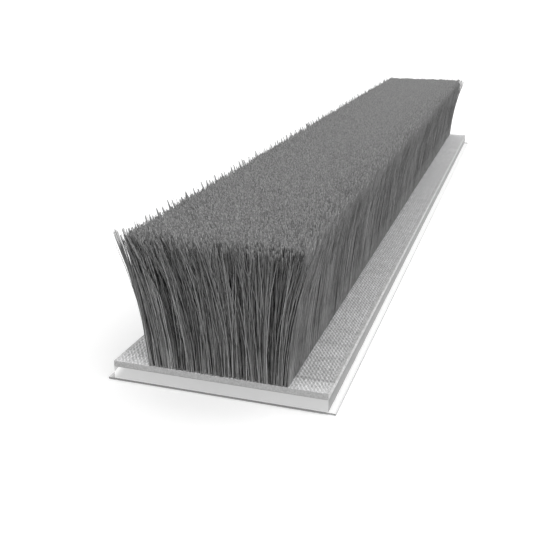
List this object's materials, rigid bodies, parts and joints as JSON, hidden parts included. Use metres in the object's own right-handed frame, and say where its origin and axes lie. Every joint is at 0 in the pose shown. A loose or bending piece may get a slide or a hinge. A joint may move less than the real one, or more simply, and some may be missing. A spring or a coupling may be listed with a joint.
{
  "type": "brush seal strip",
  "caption": "Short cut length of self-adhesive brush seal: dense grey pile woven into a flat backing, on a clear adhesive layer with a wider clear release liner.",
  "frame": {"origin": "centre of the release liner's underside, where the strip lies", "axes": "+Y along the strip, +Z from the liner up to the pile's tips, +X across the strip"},
  "size_m": [0.0074, 0.0456, 0.005],
  "materials": {
    "pile": "dense grey synthetic pile, faint sheen on the fibres' sides",
    "backing": "fine plain weave, light grey, matt",
    "adhesive": "clear soft adhesive, slightly hazy at its cut faces",
    "liner": "clear film, smooth"
  },
  "bodies": {
    "root": {"pile": "pile", "woven_backing": "backing", "adhesive_layer": "adhesive", "release_liner": "liner"}
  },
  "joints": []
}
